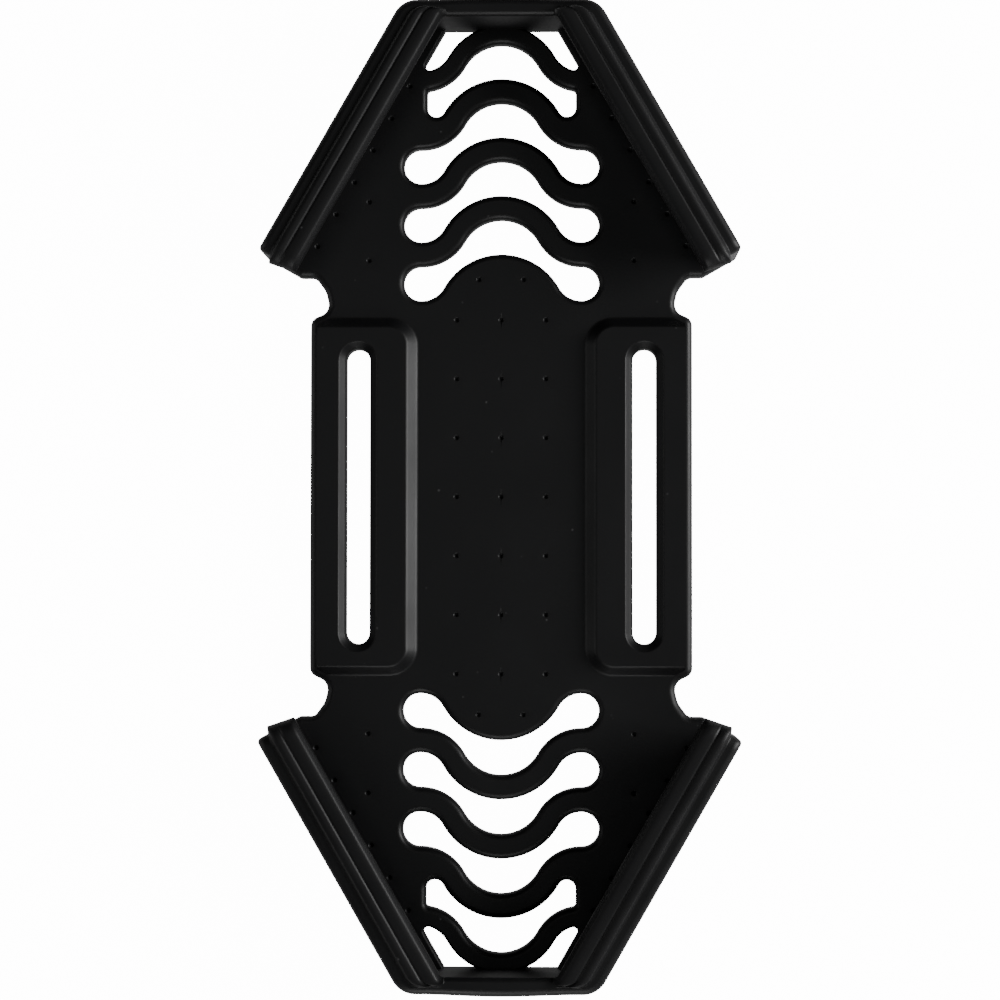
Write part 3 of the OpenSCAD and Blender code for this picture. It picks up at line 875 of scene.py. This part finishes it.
# %%
def moulded_skin():
    """Node group: Base, Dust, Roughness and Grain go in; Color, Roughness and Height come out."""
    g = bpy.data.node_groups.new("moulded_skin", "ShaderNodeTree")
    face = g.interface
    for name, kind, value in (("Base", "NodeSocketColor", (0.012, 0.012, 0.013, 1)),
                              ("Dust", "NodeSocketColor", (0.1, 0.1, 0.1, 1)),
                              ("Roughness", "NodeSocketFloat", 0.5), ("Grain", "NodeSocketFloat", 1.0)):
        s = face.new_socket(name, in_out="INPUT", socket_type=kind)
        s.default_value = value
    for name, kind in (("Color", "NodeSocketColor"), ("Roughness", "NodeSocketFloat"),
                       ("Height", "NodeSocketFloat")):
        face.new_socket(name, in_out="OUTPUT", socket_type=kind)
    n, link = g.nodes, g.links.new
    inp, out = n.new("NodeGroupInput"), n.new("NodeGroupOutput")
    place = n.new("ShaderNodeTexCoord")

    def texture(scale, detail, stretch=(1, 1, 1)):
        m = n.new("ShaderNodeMapping")
        m.inputs["Scale"].default_value = stretch
        t = n.new("ShaderNodeTexNoise")
        t.inputs["Scale"].default_value = scale
        t.inputs["Detail"].default_value = detail
        link(place.outputs["Object"], m.inputs["Vector"])
        link(m.outputs["Vector"], t.inputs["Vector"])
        return t.outputs["Fac"]

    def band(value, lo, hi, to_lo=0.0, to_hi=1.0):
        r = n.new("ShaderNodeMapRange")
        for k, v in zip(("From Min", "From Max", "To Min", "To Max"), (lo, hi, to_lo, to_hi)):
            r.inputs[k].default_value = v
        link(value, r.inputs["Value"])
        return r.outputs["Result"]

    def maths(op, a, b):
        m = n.new("ShaderNodeMath")
        m.operation = op
        for sock, v in zip(m.inputs, (a, b)):
            if isinstance(v, (int, float)):
                sock.default_value = v
            else:
                link(v, sock)
        return m.outputs["Value"]

    cloud = texture(90, 4)
    flow = texture(260, 3, (1, 0.07, 1))
    grain = texture(2600, 3)
    specks = n.new("ShaderNodeTexVoronoi")
    specks.inputs["Scale"].default_value = 420
    link(place.outputs["Object"], specks.inputs["Vector"])
    speck = maths("MULTIPLY", band(specks.outputs["Distance"], 0.09, 0.03), band(texture(300, 2), 0.56, 0.62))
    mix = n.new("ShaderNodeMix")
    mix.data_type = "RGBA"
    link(speck, mix.inputs["Factor"])
    link(inp.outputs["Base"], mix.inputs["A"])
    link(inp.outputs["Dust"], mix.inputs["B"])
    link(mix.outputs["Result"], out.inputs["Color"])
    rough = maths("ADD", inp.outputs["Roughness"], band(cloud, 0.3, 0.7, -0.06, 0.06))
    link(maths("ADD", rough, maths("MULTIPLY", speck, 0.2)), out.inputs["Roughness"])
    bumps = maths("ADD", maths("MULTIPLY", grain, 0.35), maths("MULTIPLY", flow, 0.5))
    relief = maths("ADD", bumps, maths("MULTIPLY", speck, 1.2))
    link(maths("MULTIPLY", relief, inp.outputs["Grain"]), out.inputs["Height"])
    return g


SKIN_GROUP = moulded_skin()


def silicone(name, base, roughness, grain):
    """Principled rubber whose colour, roughness and bump come from the shared group."""
    m = bpy.data.materials.new(name)
    m.use_nodes = True
    n, link = m.node_tree.nodes, m.node_tree.links.new
    shader = n["Principled BSDF"]
    g = n.new("ShaderNodeGroup")
    g.node_tree = SKIN_GROUP
    g.inputs["Base"].default_value = (*base, 1)
    g.inputs["Dust"].default_value = (0.05, 0.05, 0.052, 1)
    g.inputs["Roughness"].default_value = roughness
    g.inputs["Grain"].default_value = grain
    bump = n.new("ShaderNodeBump")
    bump.inputs["Strength"].default_value = 0.25
    bump.inputs["Distance"].default_value = 0.00006
    link(g.outputs["Color"], shader.inputs["Base Color"])
    link(g.outputs["Roughness"], shader.inputs["Roughness"])
    link(g.outputs["Height"], bump.inputs["Height"])
    link(bump.outputs["Normal"], shader.inputs["Normal"])
    shader.inputs["IOR"].default_value = 1.41
    return m


rubber = silicone("silicone", (0.006, 0.006, 0.0065), 0.46, 1.0)
for piece in rubber_pieces:
    piece.data.materials.append(rubber)

# %% [markdown]
# ## Floor, light and camera
# A pale floor, a low soft key from the right, three weak lights that open its shadows, a dim dome that looks
# as pale as the floor, and a long lens nearly straight above.

# %%
PALE = 14.0


def floor_material():
    """A pale floor that shows near white to the eye and gives the object only a soft bounce."""
    m = bpy.data.materials.new("pale_floor")
    m.use_nodes = True
    n, link = m.node_tree.nodes, m.node_tree.links.new
    shader = n["Principled BSDF"]
    noise = n.new("ShaderNodeTexNoise")
    noise.inputs["Scale"].default_value = 40
    tone = n.new("ShaderNodeMapRange")
    tone.inputs["To Min"].default_value = 0.86
    tone.inputs["To Max"].default_value = 0.9
    path = n.new("ShaderNodeLightPath")
    glow = n.new("ShaderNodeMath")
    glow.operation = "MULTIPLY_ADD"
    glow.inputs[1].default_value = PALE
    glow.inputs[2].default_value = 0.25
    link(noise.outputs["Fac"], tone.inputs["Value"])
    link(tone.outputs["Result"], shader.inputs["Base Color"])
    link(path.outputs["Is Camera Ray"], glow.inputs[0])
    link(glow.outputs["Value"], shader.inputs["Emission Strength"])
    shader.inputs["Emission Color"].default_value = (1, 1, 1, 1)
    shader.inputs["Roughness"].default_value = 0.9
    return m


floor_mesh = bpy.data.meshes.new("floor")
span = 3.0
floor_corners = [(x * span, y * span, 0) for x, y in ((-1, -1), (1, -1), (1, 1), (-1, 1))]
floor_mesh.from_pydata(floor_corners, [], [(0, 1, 2, 3)])
floor = bpy.data.objects.new("floor", floor_mesh)
floor.location.z = -0.0002
bpy.context.scene.collection.objects.link(floor)
floor_mesh.materials.append(floor_material())
floor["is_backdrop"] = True


def area_light(name, at, look, size, power):
    """A square area light at a point, facing another."""
    data = bpy.data.lights.new(name, "AREA")
    data.size = size
    data.energy = power
    obj = bpy.data.objects.new(name, data)
    obj.location = at
    obj.rotation_euler = (Vector(look) - Vector(at)).to_track_quat("-Z", "Y").to_euler()
    bpy.context.scene.collection.objects.link(obj)


area_light("key", (0.9, 0.12, 0.42), (0, 0, 0), 0.5, 10.5)
area_light("side", (-0.9, 0, 0.42), (0, 0, 0), 0.5, 1.1)
area_light("low", (0, -0.85, 0.53), (0, 0, 0), 0.5, 3.2)
area_light("fill", (-0.1, 0.1, 1.0), (0, 0, 0), 0.5, 0.35)


def sky(horizon, overhead, haze=0.25):
    """A dome whose light falls from the horizon's to the overhead's as the direction's z goes from 0 to haze.

    To the eye it is as pale as the floor, so the two meet without a line.
    """
    world = bpy.data.worlds.new("sky")
    world.use_nodes = True
    n, link = world.node_tree.nodes, world.node_tree.links.new
    place, split = n.new("ShaderNodeTexCoord"), n.new("ShaderNodeSeparateXYZ")
    fall = n.new("ShaderNodeMapRange")
    for k, v in (("From Min", 0.0), ("From Max", haze), ("To Min", horizon), ("To Max", overhead)):
        fall.inputs[k].default_value = v
    link(place.outputs["Generated"], split.inputs["Vector"])
    link(split.outputs["Z"], fall.inputs["Value"])
    path, pale = n.new("ShaderNodeLightPath"), n.new("ShaderNodeMath")
    pale.operation = "MULTIPLY_ADD"
    pale.inputs[1].default_value = PALE
    link(path.outputs["Is Camera Ray"], pale.inputs[0])
    link(fall.outputs["Result"], pale.inputs[2])
    link(pale.outputs["Value"], n["Background"].inputs["Strength"])
    n["Background"].inputs["Color"].default_value = (1, 1, 1, 1)
    return world


bpy.context.scene.world = sky(0.12, 0.008)

# %%
camera_data = bpy.data.cameras.new("camera")
SENSOR = 36
camera_data.sensor_width = SENSOR
camera_data.lens = SENSOR * 2.9338
camera_data.clip_start = 0.01
camera = bpy.data.objects.new("camera", camera_data)
bpy.context.scene.collection.objects.link(camera)
TILT_X, TILT_Y, TURN, DISTANCE = 0.0318, 0.0254, 0.0012, 400
back = np.array([math.sin(TILT_Y), -math.sin(TILT_X), 0])
back[2] = math.sqrt(1 - back @ back)
camera.location = (np.array([-0.2, -0.379, 0]) + DISTANCE * back) * MM
camera.rotation_euler = (TILT_X, TILT_Y, TURN)
bpy.context.scene.camera = camera

# %%
bounds_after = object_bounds()
for label, pair in (("before", bounds_before), ("after", bounds_after)):
    print(label, [round(c, 5) for corner in pair for c in corner])
